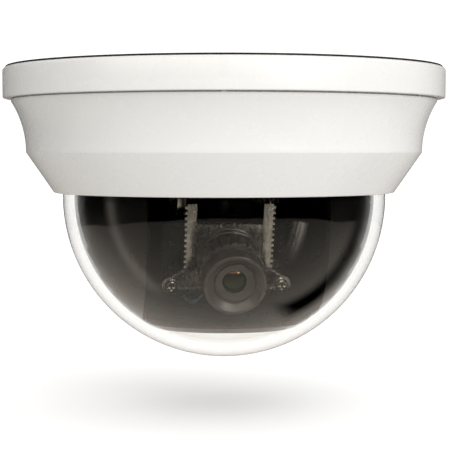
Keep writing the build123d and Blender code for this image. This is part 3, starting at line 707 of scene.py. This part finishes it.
# ---- the housing ------------------------------------------------------------------------
@dataclass
class Housing:
    """The white base and cover, with the gasket against the ceiling."""

    shop: Workshop
    seam_height: float = -9.7
    skirt_top: float = 62.95
    skirt_radius: float = 58.4
    skirt_low: float = -24.9
    cone_radius: float = 50.3
    cone_low: float = -36.8
    bore: float = 48.15
    seat: float = -32.0
    seat_radius: float = 51.4
    wall: float = 2.66
    spigot_radius: float = 61.7
    spigot_wall: float = 2.1
    spigot_top: float = -5.0
    steps: int = 224

    def build(self) -> None:
        """Build and dress the housing."""
        self.base()
        self.gasket()
        self.cover()
        self.shop.resurface("cable_grommet")

    def base(self) -> None:
        """The base: a smooth rim round the frame's own plate, posts and ribs."""
        low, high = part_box("base_rim")
        radius = high.x / MM
        top = high.z / MM
        bottom = low.z / MM
        inner = self.spigot_radius + 0.5
        rim = outline([(inner, top), (radius, top, 1.0), (radius, bottom, 0.35), (inner, bottom)])
        self.shop.add(spun(rim, self.steps), "base_rim_band", "base_rim")
        for node in ("mounting_base", "bearing_posts", "base_ribs"):
            piece = self.shop.resurface(node)
            # The base behind the rim takes the darker copy of the white plastic: painted shade, not a
            # different plastic.
            piece.data.materials[0] = self.shop.materials["base_white_painted_shade"]

    def gasket(self) -> None:
        """The foam ring, a little swollen at its outer edge."""
        low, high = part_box("base_gasket")
        outer = high.x / MM
        top = high.z / MM
        bottom = low.z / MM
        bore = outer - 3.7
        waist = (outer, (top + bottom) / 2, 0.12)
        ring = outline([(bore, top), (outer - 0.25, top), waist, (outer - 0.2, bottom), (bore, bottom)])
        self.shop.add(spun(ring, self.steps), "ceiling_gasket", "base_gasket")

    def cover(self) -> None:
        """The cover: concave skirt, crisp step, straight cone and a rounded lip."""
        run = self.skirt_top - self.skirt_radius
        rise = self.seam_height - self.skirt_low
        curve = (run * run + rise * rise) / (2 * run)
        reach = math.degrees(math.asin(rise / curve))
        skirt = arc((self.skirt_radius + curve, self.skirt_low), curve, 180 - reach, 180, 22)
        slope = (self.skirt_radius - self.cone_radius) / (self.skirt_low - self.cone_low)
        inside = self.skirt_radius - self.wall
        spigot = self.spigot_radius - self.spigot_wall
        seat_top = self.skirt_low - (inside - self.seat_radius) / slope
        rest = outline(
            [
                (self.skirt_radius, self.skirt_low),
                (self.skirt_radius - 0.12 * slope, self.skirt_low - 0.2, 0.1),
                (self.cone_radius, self.cone_low, 0.8),
                (self.bore, self.cone_low, 0.4),
                (self.bore, self.seat, 0.15),
                (self.seat_radius, self.seat, 0.15),
                (self.seat_radius, seat_top, 0.3),
                (inside, self.skirt_low, 3.0),
                (spigot, self.seam_height - 1.3, 2.0),
                (spigot, self.spigot_top, 0.4),
                (self.spigot_radius, self.spigot_top, 0.4),
                (self.spigot_radius, self.seam_height, 0.2),
                (self.skirt_top - 0.25, self.seam_height),
            ]
        )
        shell = spun(skirt[1:] + rest[1:], self.steps)
        ribs = []
        for index in range(6):
            angle = math.radians(30 + 60 * index)
            middle = self.spigot_radius + 0.06
            tall = self.spigot_top - self.seam_height - 0.6
            height = (self.seam_height + self.spigot_top - 0.6) / 2
            centre = (middle * math.cos(angle), middle * math.sin(angle), height)
            ribs.append(brick((0.7, 1.6, tall), centre, 0.15, Euler((0, 0, angle))))
        self.shop.add(joined([shell, *ribs]), "cover_moulding", "cover_shell", sharp=28.0)


@dataclass
class Dome:
    """The clear dome with its seal, ring and screws."""

    shop: Workshop
    radius: float = 47.8
    wall: float = 2.7
    centre: float = -37.8
    flange: float = 51.2
    flange_low: float = -31.0
    flange_top: float = -29.0
    steps: int = 256

    def build(self) -> None:
        """Build and dress the dome and what holds it."""
        inner = self.radius - self.wall
        outside = arc((0, self.centre), self.radius, -90, 0, 72)
        inside = arc((0, self.centre), inner, 0, -90, 72)
        rim = outline(
            [
                (self.radius, self.centre),
                (self.radius, self.flange_low, 0.3),
                (self.flange, self.flange_low, 0.2),
                (self.flange, self.flange_top, 0.2),
                (inner, self.flange_top, 0.2),
                (inner, self.centre),
            ],
            4,
        )
        shell = spun(outside[:-1] + rim + inside[1:], self.steps, closed=False)
        self.shop.add(shell, "dome_moulding", "dome_cover", sharp=40.0)
        for node in ("dome_gasket", "dome_retaining_ring", "dome_ring_screws"):
            self.shop.resurface(node)


@dataclass
class Liner:
    """The black liner: a shell with a flat floor and a window in front of the lens."""

    shop: Workshop
    radius: float = 44.4
    wall: float = 1.4
    centre: float = -37.8
    top: float = -18.15
    floor: float = -74.6
    lip_radius: float = 34.0
    window: float = 24.5
    window_top: float = -22.15
    window_back: float = -12.0
    steps: int = 192

    def build(self) -> None:
        """Build and dress the liner."""
        drop = math.degrees(math.asin((self.floor - self.centre) / self.radius))
        edge = self.radius * math.cos(math.radians(drop))
        shell = arc((0, self.centre), self.radius, 0, drop, 40)
        profile = [(self.lip_radius, self.top), (self.radius - 0.3, self.top), (self.radius, self.top - 0.3)]
        profile += shell + [(edge * share, self.floor) for share in (0.75, 0.5, 0.25)] + [(0.0, self.floor)]
        bm = spun(profile, self.steps, closed=False)
        cuts = (
            ((self.window, 0, 0), (1, 0, 0)),
            ((-self.window, 0, 0), (1, 0, 0)),
            ((0, self.window_back, 0), (0, 1, 0)),
            ((0, 0, self.window_top), (0, 0, 1)),
            ((0, 0, self.floor + self.wall), (0, 0, 1)),
        )
        for place, direction in cuts:
            geometry = bm.verts[:] + bm.edges[:] + bm.faces[:]
            bmesh.ops.bisect_plane(bm, geom=geometry, plane_co=place, plane_no=direction, dist=0.0005)
        opening = [face for face in bm.faces if self.in_window(face.calc_center_median())]
        bmesh.ops.delete(bm, geom=opening, context="FACES")
        bmesh.ops.recalc_face_normals(bm, faces=bm.faces)
        top_face = max(bm.faces, key=lambda face: face.calc_center_median().z)
        if top_face.normal.z < 0:
            bmesh.ops.reverse_faces(bm, faces=bm.faces)
        bmesh.ops.solidify(bm, geom=bm.faces, thickness=self.wall)
        bmesh.ops.recalc_face_normals(bm, faces=bm.faces)
        self.shop.add(bm, "liner_shell", "liner_hood", self.shop.pan_frame, sharp=30.0)
        self.shop.resurface("hood_screws")

    def in_window(self, point: Vector) -> bool:
        """Whether a point of the shell lies in the window.

        Args:
            point: The point, in the shell's own millimetres.

        Returns:
            True inside the window.
        """
        return (
            abs(point.x) < self.window
            and point.y < self.window_back
            and self.floor + self.wall < point.z < self.window_top
        )


# ---- the mechanism ----------------------------------------------------------------------
@dataclass
class Mechanism:
    """Turntable, yokes, cradle and circuit boards: the frame's shapes with finished edges."""

    shop: Workshop
    softened: dict[str, Edges] = field(
        default_factory=lambda: {
            "bearing_ring": Edges.CRISP,
            "bearing_ring_screws": Edges.CRISP,
            "friction_ring": Edges.CRISP,
            "turntable": Edges.CRISP,
            "yoke_left": Edges.FINE,
            "yoke_right": Edges.FINE,
            "yoke_screws": Edges.CRISP,
            "tilt_cradle": Edges.FINE,
            "tilt_screws": Edges.CRISP,
            "tilt_washers": Edges.CRISP,
            "tilt_nuts": Edges.CRISP,
            "plate_screws": Edges.CRISP,
            "board_spacers": Edges.CRISP,
            "holder_screws": Edges.CRISP,
            "lens_holder": Edges.CRISP,
            "lens_lock_screw": Edges.CRISP,
            "main_board": Edges.FINE,
            "board_screws": Edges.CRISP,
            "board_chips": Edges.SOFT,
            "board_capacitors": Edges.CRISP,
            "power_coil": Edges.CRISP,
            "cable_header": Edges.CRISP,
            "harness_socket": Edges.FINE,
            "sensor_board": Edges.FINE,
            "image_sensor": Edges.CRISP,
            "sensor_board_chips": Edges.SOFT,
            "sensor_socket": Edges.SOFT,
            "infrared_filter": Edges.CRISP,
        }
    )

    def build(self) -> None:
        """Build and dress every piece of the mechanism."""
        for node, edges in self.softened.items():
            self.shop.resurface(node, edges)


@dataclass
class Lens:
    """Rear barrel, scalloped focus ring, front head, bezel and glasses."""

    shop: Workshop
    barrel_radius: float = 9.3
    barrel_length: float = 6.0
    neck_radius: float = 7.25
    neck_end: float = 12.1
    tube_radius: float = 6.55
    tube_bore: float = 5.6
    head_radius: float = 8.85
    head_back: float = 13.3
    head_front: float = 19.0
    lobes: int = 24
    lobe_circle: float = 8.35
    lobe_radius: float = 1.25
    bezel_bore: float = 3.45
    steps: int = 128

    def build(self) -> None:
        """Build and dress the lens."""
        self.rear_barrel()
        self.focus_ring()
        self.front_head()
        self.glasses()

    def turned(self, corners: Iterable[Corner], name: str, node: str) -> None:
        """Add a turned piece of the lens.

        Args:
            corners: Its outline.
            name: The piece's name.
            node: The frame's node it replaces.
        """
        self.shop.add(spun(outline(corners), self.steps), name, node, self.shop.lens_frame)

    def rear_barrel(self) -> None:
        """The fixed barrel, with two fine grooves round it."""
        bore = self.tube_radius + 0.05
        groove = self.barrel_radius - 0.25
        corners = [(bore, -4.0), (7.95, -4.0, 0.2), (7.95, 0.0), (self.barrel_radius, 0.0, 0.15)]
        for start in (1.6, 4.0):
            corners += [
                (self.barrel_radius, start),
                (groove, start + 0.15),
                (groove, start + 0.45),
                (self.barrel_radius, start + 0.6),
            ]
        corners += [
            (self.barrel_radius, self.barrel_length, 0.5),
            (self.neck_radius, self.barrel_length),
            (self.neck_radius, self.neck_end, 0.2),
            (bore, self.neck_end),
        ]
        self.turned(corners, "lens_rear_barrel", "rear_barrel")

    def focus_ring(self) -> None:
        """The scalloped ring: a disc of lobes, extruded, with its edges bevelled."""
        low = self.barrel_length + 0.08
        high = self.neck_end - 0.05
        bore = self.neck_radius + 0.05
        per_lobe = 12
        around = self.lobes * per_lobe
        bm = bmesh.new()
        outer = bmesh.ops.create_circle(bm, cap_ends=False, radius=1.0, segments=around)["verts"]
        for vert in outer:
            vert.co *= self.lobe_reach(math.atan2(vert.co.y, vert.co.x))
        inner = bmesh.ops.create_circle(bm, cap_ends=False, radius=bore, segments=around)["verts"]
        rims = {edge for vert in outer + inner for edge in vert.link_edges}
        bmesh.ops.bridge_loops(bm, edges=list(rims))
        bmesh.ops.translate(bm, vec=(0, 0, low), verts=bm.verts)
        grown = bmesh.ops.extrude_face_region(bm, geom=bm.faces[:])
        lifted = [item for item in grown["geom"] if isinstance(item, bmesh.types.BMVert)]
        bmesh.ops.translate(bm, vec=(0, 0, high - low), verts=lifted)
        bmesh.ops.recalc_face_normals(bm, faces=bm.faces)
        outer_rims = [
            edge for edge in bm.edges
            if edge.calc_face_angle(0.0) > math.radians(60) and edge.verts[0].co.xy.length > bore + 0.5
        ]
        bmesh.ops.bevel(
            bm, geom=outer_rims, affect="EDGES", offset=0.35, offset_type="OFFSET", segments=4,
            profile=0.5, material=-1, clamp_overlap=True,
        )
        self.shop.add(bm, "lens_focus_ring", "focus_ring", self.shop.lens_frame, sharp=40.0)

    def lobe_reach(self, angle: float) -> float:
        """Radius of the scalloped outline at an angle.

        Args:
            angle: The angle in radians.

        Returns:
            The radius in millimetres.
        """
        pitch = math.tau / self.lobes
        off = (angle + pitch / 2) % pitch - pitch / 2
        across = self.lobe_circle * math.sin(off)
        return self.lobe_circle * math.cos(off) + math.sqrt(max(self.lobe_radius ** 2 - across ** 2, 0.0))

    def front_head(self) -> None:
        """The front head on its tube, dished towards the glass."""
        self.turned(
            [
                (self.tube_bore, -3.0),
                (self.tube_radius, -3.0, 0.15),
                (self.tube_radius, self.head_back, 0.1),
                (self.head_radius - 0.5, self.head_back, 0.15),
                (self.head_radius, self.head_back + 0.8, 0.4),
                (self.head_radius, self.head_front, 0.45),
                (self.head_radius - 1.0, self.head_front, 0.25),
                (self.tube_bore + 0.55, self.head_front - 1.45, 0.1),
                (self.tube_bore + 0.3, self.head_front - 2.2, 0.1),
                (self.tube_bore, self.head_front - 2.2),
            ],
            "lens_front_head",
            "front_barrel",
        )

    def glasses(self) -> None:
        """The dished bezel, the front glass in it and the rear glass."""
        edge = self.tube_bore - 0.1
        bore = self.bezel_bore
        self.turned(
            [(bore, 16.0), (edge, 16.0), (edge, 17.3, 0.15), (bore + 0.5, 16.75, 0.1), (bore, 16.6, 0.08)],
            "lens_bezel_ring",
            "lens_bezel",
        )
        self.turned_glass(13.6, 15.9, 1.2, bore - 0.1, "lens_front_glass", "front_glass")
        self.turned_glass(-2.6, -0.6, 0.8, edge - 0.6, "lens_rear_glass", "rear_glass")

    def turned_glass(self, low: float, high: float, crown: float, reach: float, name: str, node: str) -> None:
        """Add a glass with a crowned front.

        Args:
            low: Height of its back.
            high: Height of its shoulder.
            crown: How far the crown rises above the shoulder.
            reach: Radius of the crown.
            name: The piece's name.
            node: The frame's node it replaces.
        """
        edge = self.tube_bore - 0.1
        curve = (reach * reach + crown * crown) / (2 * crown)
        half = math.degrees(math.asin(reach / curve))
        dome = arc((0, high + crown - curve), curve, 90 - half, 90, 16)
        points = [(0.0, low), (edge, low), (edge, high), *dome]
        self.shop.add(spun(points, self.steps, closed=False), name, node, self.shop.lens_frame)


@dataclass
class Wiring:
    """The internal cable in its three lengths, and the filter's small lead."""

    shop: Workshop

    def build(self) -> None:
        """Build and dress the wiring."""
        for node in ("harness_upper", "harness_middle", "harness_lower", "infrared_filter_lead"):
            self.shop.resurface(node)


# ---- the studio -------------------------------------------------------------------------
@dataclass
class Surround:
    """What the dome mirrors: dark above a wavy edge, a pale table below, and tall lamps.

    The shell has a radius of one metre about the origin, so places on it are metres too.
    """

    edge: float = -0.288
    edge_lean: float = 0.018
    edge_back: float = 0.12
    near_edge: float = 0.19
    deep: float = 0.85
    front_share: float = 0.22
    strip_place: float = -0.08
    strip_width: float = 0.11
    strip_low: float = -0.88
    strip_light: float = 0.5
    shade_slope: float = 0.46
    shade_width: float = 0.22
    tall_light: float = 2.6
    tall_width: float = 0.1
    open_back: float = 0.6
    window_low: float = 0.06
    window_high: float = 0.55
    window_light: float = 2.6
    glow_colour: tuple[float, float, float, float] = (1.0, 0.90, 0.79, 1.0)

    def build(self) -> None:
        """Make the mirrored shell, and the part of it that light through the dome meets."""
        material = self.material()
        for name, back in (("mirrored_room", 2.0), ("room_through_dome", self.open_back)):
            bm = bmesh.new()
            bmesh.ops.create_uvsphere(bm, u_segments=96, v_segments=64, radius=1.0)
            bmesh.ops.reverse_faces(bm, faces=bm.faces)
            behind = [face for face in bm.faces if face.calc_center_median().y > back]
            bmesh.ops.delete(bm, geom=behind, context="FACES")
            shell = Studio.staged(bm, name)
            shell.data.materials.append(material)
            shell.visible_camera = False
            shell.visible_diffuse = False
            shell.visible_shadow = False
            shell.visible_glossy = name == "mirrored_room"
            shell.visible_transmission = name != "mirrored_room"

    def material(self) -> bpy.types.Material:
        """Paint the shell.

        Returns:
            The emitting material.
        """
        graph = Graph("mirrored_room")
        parts = graph.add("ShaderNodeSeparateXYZ")
        graph.link(graph.coords, parts.inputs["Vector"])
        place = [parts.outputs[axis] for axis in "XYZ"]
        tone = self.table(graph, *place)
        tone = self.math(graph, "MULTIPLY_ADD", self.left_strip(graph, *place), self.strip_light, tone)
        tone = self.math(graph, "MULTIPLY", tone, self.right_shade(graph, *place))
        tone = self.math(graph, "MULTIPLY_ADD", self.tall_strip(graph, *place), self.tall_light, tone)
        tone = self.math(graph, "MULTIPLY_ADD", self.front_window(graph, *place), self.window_light, tone)
        glow = graph.add("ShaderNodeEmission")
        glow.inputs["Color"].default_value = self.glow_colour
        graph.link(tone, glow.inputs["Strength"])
        out = graph.tree.nodes["Material Output"]
        graph.link(glow.outputs["Emission"], out.inputs["Surface"])
        return graph.material

    def table(self, graph: Graph, x: Socket, y: Socket, z: Socket) -> Socket:
        """The pale table, brighter downwards and dimmer in front, cut off at a wavy edge.

        Args:
            graph: The material's graph.
            x: Sideways place.
            y: Depth.
            z: Height.

        Returns:
            Its brightness.
        """
        behind = self.math(graph, "MAXIMUM", y, 0.0)
        level = self.math(graph, "MULTIPLY_ADD", x, self.edge_lean, self.edge)
        level = self.math(graph, "MULTIPLY_ADD", behind, self.edge_back, level)
        level = self.math(graph, "MULTIPLY_ADD", graph.noise(2.6, 2.0), 0.03, level)
        below = self.math(graph, "SUBTRACT", level, z)
        depth = self.ranged(graph, below, (0.0, 0.72), (0.0, self.deep - self.near_edge))
        side = self.ranged(graph, y, (-0.75, 0.25), (self.front_share, 1.0))
        tone = self.math(graph, "MULTIPLY_ADD", depth, side, self.near_edge)
        return self.math(graph, "MULTIPLY", tone, self.step(graph, below, 0.0, 0.012))

    def left_strip(self, graph: Graph, x: Socket, y: Socket, z: Socket) -> Socket:
        """A tall soft strip to the left.

        Args:
            graph: The material's graph.
            x: Sideways place.
            y: Depth.
            z: Height.

        Returns:
            How much of it shows, from 0 to 1.
        """
        across = self.math(graph, "ABSOLUTE", self.math(graph, "SUBTRACT", y, self.strip_place), 0.0)
        return self.product(
            graph,
            self.step(graph, across, self.strip_width, 0.0),
            self.step(graph, x, -0.3, -0.4),
            self.step(graph, z, self.strip_low, self.strip_low + 0.1),
            self.step(graph, z, -0.05, -0.12),
        )

    def right_shade(self, graph: Graph, x: Socket, y: Socket, z: Socket) -> Socket:
        """A dark upright stripe to the right.

        Args:
            graph: The material's graph.
            x: Sideways place.
            y: Depth.
            z: Height, which it doesn't follow.

        Returns:
            0 in the stripe and 1 away from it.
        """
        slant = self.math(graph, "MULTIPLY_ADD", x, -self.shade_slope, y)
        slant = self.math(graph, "ABSOLUTE", slant, 0.0)
        shade = self.step(graph, slant, self.shade_width * 0.4, self.shade_width)
        return self.math(graph, "MAXIMUM", shade, self.step(graph, x, 0.5, 0.34))

    def tall_strip(self, graph: Graph, x: Socket, y: Socket, z: Socket) -> Socket:
        """A tall lamp to the right, brightest at its top and broken into upright streaks.

        Args:
            graph: The material's graph.
            x: Sideways place.
            y: Depth.
            z: Height.

        Returns:
            How much of it shows, from 0 to 1.
        """
        across = self.math(graph, "MULTIPLY_ADD", x, 0.57, self.math(graph, "MULTIPLY", y, 0.82))
        streaks = graph.add("ShaderNodeTexNoise", noise_dimensions="1D")
        streaks.inputs["Scale"].default_value = 22.0
        graph.link(across, streaks.inputs["W"])
        return self.product(
            graph,
            self.step(graph, self.math(graph, "ABSOLUTE", across, 0.0), self.tall_width, 0.02),
            self.step(graph, streaks.outputs["Fac"], 0.36, 0.62),
            self.step(graph, x, 0.1, 0.2),
            self.step(graph, z, self.edge, self.edge - 0.01),
            self.step(graph, z, -0.72, -0.24),
        )

    def front_window(self, graph: Graph, x: Socket, y: Socket, z: Socket) -> Socket:
        """A wide window in front, above what the dome mirrors, that lights the lens.

        Args:
            graph: The material's graph.
            x: Sideways place, which it doesn't follow.
            y: Depth.
            z: Height.

        Returns:
            How much of it shows, from 0 to 1.
        """
        return self.product(
            graph,
            self.step(graph, z, self.window_low, self.window_low + 0.08),
            self.step(graph, z, self.window_high, self.window_high - 0.1),
            self.step(graph, y, -0.35, -0.6),
        )

    @classmethod
    def product(cls, graph: Graph, first: Socket, *others: Socket) -> Socket:
        """Multiply several values.

        Args:
            graph: The material's graph.
            first: The first value.
            *others: The other values.

        Returns:
            Their product.
        """
        for other in others:
            first = cls.math(graph, "MULTIPLY", first, other)
        return first

    @staticmethod
    def ranged(graph: Graph, value: Socket, source: Point, target: Point) -> Socket:
        """Map one range onto another in a straight line, held at its ends.

        Args:
            graph: The material's graph.
            value: What is mapped.
            source: The range it is read in.
            target: The range of the result.

        Returns:
            The result.
        """
        node = graph.add("ShaderNodeMapRange")
        graph.link(value, node.inputs["Value"])
        for name, number in zip(("From Min", "From Max", "To Min", "To Max"), (*source, *target)):
            node.inputs[name].default_value = number
        return node.outputs["Result"]

    @staticmethod
    def math(graph: Graph, kind: str, first: object, second: object, third: object = None) -> Socket:
        """A math node fed by sockets or numbers.

        Args:
            graph: The material's graph.
            kind: The operation.
            first: First socket or number.
            second: Second socket or number.
            third: Third socket or number, if it takes one.

        Returns:
            The result.
        """
        node = graph.add("ShaderNodeMath", operation=kind)
        for socket, value in zip(node.inputs, (first, second, third)):
            if isinstance(value, Socket):
                graph.link(value, socket)
            elif value is not None:
                socket.default_value = value
        return node.outputs["Value"]

    @staticmethod
    def step(graph: Graph, value: Socket, low: float, high: float) -> Socket:
        """Smooth step from 0 at `low` to 1 at `high`.

        Args:
            graph: The material's graph.
            value: What is compared.
            low: Where the result is 0.
            high: Where the result is 1.

        Returns:
            The result.
        """
        node = graph.add("ShaderNodeMapRange", interpolation_type="SMOOTHSTEP")
        flipped = low > high
        node.inputs["From Min"].default_value = min(low, high)
        node.inputs["From Max"].default_value = max(low, high)
        node.inputs["To Min"].default_value = 1.0 if flipped else 0.0
        node.inputs["To Max"].default_value = 0.0 if flipped else 1.0
        graph.link(value, node.inputs["Value"])
        return node.outputs["Result"]


@dataclass
class Studio:
    """Pale floor, soft light, what the dome mirrors, and the camera."""

    rim: float
    floor_height: float = -0.100
    distance_in_rims: float = 6.18
    camera_height: float = -0.0243
    focal_length: float = 107.7
    pitch: float = 3.19
    yaw: float = -0.04

    def build(self) -> None:
        """Set the stage, the lights and the camera."""
        self.world()
        self.floor()
        self.lower_fill()
        Surround().build()
        self.lights()
        self.camera()

    def world(self) -> None:
        """An even pale surrounding."""
        world = bpy.data.worlds.new("studio")
        world.use_nodes = True
        background = world.node_tree.nodes["Background"]
        background.inputs["Color"].default_value = (1.0, 0.995, 0.985, 1.0)
        background.inputs["Strength"].default_value = 1.2
        bpy.context.scene.world = world
        bpy.context.scene.view_settings.view_transform = "Standard"

    def floor(self) -> None:
        """A wide pale floor, partly lit from within, so that only the closest shade shows."""
        bm = bmesh.new()
        bmesh.ops.create_grid(bm, x_segments=8, y_segments=8, size=8.0)
        bmesh.ops.translate(bm, vec=(0, 0, self.floor_height), verts=bm.verts)
        floor = self.staged(bm, "floor")
        graph = Graph("pale_floor")
        tone = graph.noise(3.0, 3.0)
        stops = [(0.3, (0.94, 0.94, 0.94)), (0.7, (0.97, 0.97, 0.97))]
        graph.link(graph.ramp(tone, stops), graph.shader.inputs["Base Color"])
        graph.set(Roughness=0.9, Specular_IOR_Level=0.0)
        graph.set(Emission_Color=(1.0, 1.0, 1.0, 1.0), Emission_Strength=0.16)
        floor.data.materials.append(graph.material)
        floor.visible_glossy = False
        floor.visible_transmission = False
        floor.visible_diffuse = False

    def lower_fill(self) -> None:
        """A dim bowl below, so that surfaces that face down are a little darker."""
        bm = bmesh.new()
        bmesh.ops.create_uvsphere(bm, u_segments=48, v_segments=32, radius=3.0)
        above = [face for face in bm.faces if face.calc_center_median().z > 0]
        bmesh.ops.delete(bm, geom=above, context="FACES")
        bowl = self.staged(bm, "lower_fill")
        graph = Graph("lower_fill")
        graph.set(Base_Color=(0.0, 0.0, 0.0, 1.0), Specular_IOR_Level=0.0)
        graph.set(Emission_Color=(1.0, 0.99, 0.97, 1.0), Emission_Strength=0.82)
        bowl.data.materials.append(graph.material)
        bowl.visible_camera = False
        bowl.visible_glossy = False
        bowl.visible_transmission = False
        bowl.visible_shadow = False

    def lights(self) -> None:
        """A soft box and a grey card that give the white housing its shading."""
        self.soft_box("key", (0.50, -0.7, 0.20), 0.30, 2.2)
        bm = bmesh.new()
        bmesh.ops.create_grid(bm, x_segments=1, y_segments=1, size=0.22)
        upright = Matrix.Rotation(math.radians(90), 3, "Y")
        bmesh.ops.rotate(bm, cent=(0, 0, 0), matrix=upright, verts=bm.verts)
        bmesh.ops.translate(bm, vec=(-0.30, 0.05, -0.02), verts=bm.verts)
        card = self.staged(bm, "dark_card")
        graph = Graph("dark_card")
        graph.set(Base_Color=(0.45, 0.44, 0.42, 1.0), Roughness=0.9)
        card.data.materials.append(graph.material)
        card.visible_camera = False
        card.visible_glossy = False
        card.visible_transmission = False

    def soft_box(self, name: str, place: Sequence[float], size: float, power: float) -> None:
        """Add a soft box that looks at the camera's middle.

        Args:
            name: The light's name.
            place: Where it stands.
            size: Its side.
            power: Its power in watts.
        """
        data = bpy.data.lights.new(name, "AREA")
        data.size = size
        data.energy = power
        box = bpy.data.objects.new(name, data)
        box.location = place
        aim = Vector((0, 0, -0.04)) - Vector(place)
        box.rotation_euler = aim.to_track_quat("-Z", "Y").to_euler()
        box.visible_camera = False
        bpy.context.scene.collection.objects.link(box)

    def camera(self) -> None:
        """The camera, level with the cover and looking slightly down."""
        data = bpy.data.cameras.new("view")
        data.lens = self.focal_length
        data.sensor_width = 36.0
        camera = bpy.data.objects.new("view", data)
        camera.location = (0, -self.distance_in_rims * self.rim, self.camera_height)
        camera.rotation_euler = (math.radians(90 - self.pitch), 0, math.radians(self.yaw))
        bpy.context.scene.collection.objects.link(camera)
        bpy.context.scene.camera = camera

    @staticmethod
    def staged(bm: bmesh.types.BMesh, name: str) -> bpy.types.Object:
        """Add a stage object.

        Args:
            bm: Its shape, which is freed.
            name: Its name.

        Returns:
            The object.
        """
        mesh = bpy.data.meshes.new(name)
        bm.to_mesh(mesh)
        bm.free()
        piece = bpy.data.objects.new(name, mesh)
        bpy.context.scene.collection.objects.link(piece)
        return piece


def main() -> None:
    """Build the camera round its frame, then the studio."""
    logging.basicConfig(level=logging.INFO, format="%(message)s")
    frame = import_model()
    shop = Workshop(frame)
    for part in (Housing(shop), Dome(shop), Liner(shop), Mechanism(shop), Lens(shop), Wiring(shop)):
        part.build()
        LOG.info("%s built", type(part).__name__)
    rim = (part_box("base_rim")[1].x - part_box("base_rim")[0].x) / 2
    Studio(rim).build()


if __name__ == "__main__":
    main()
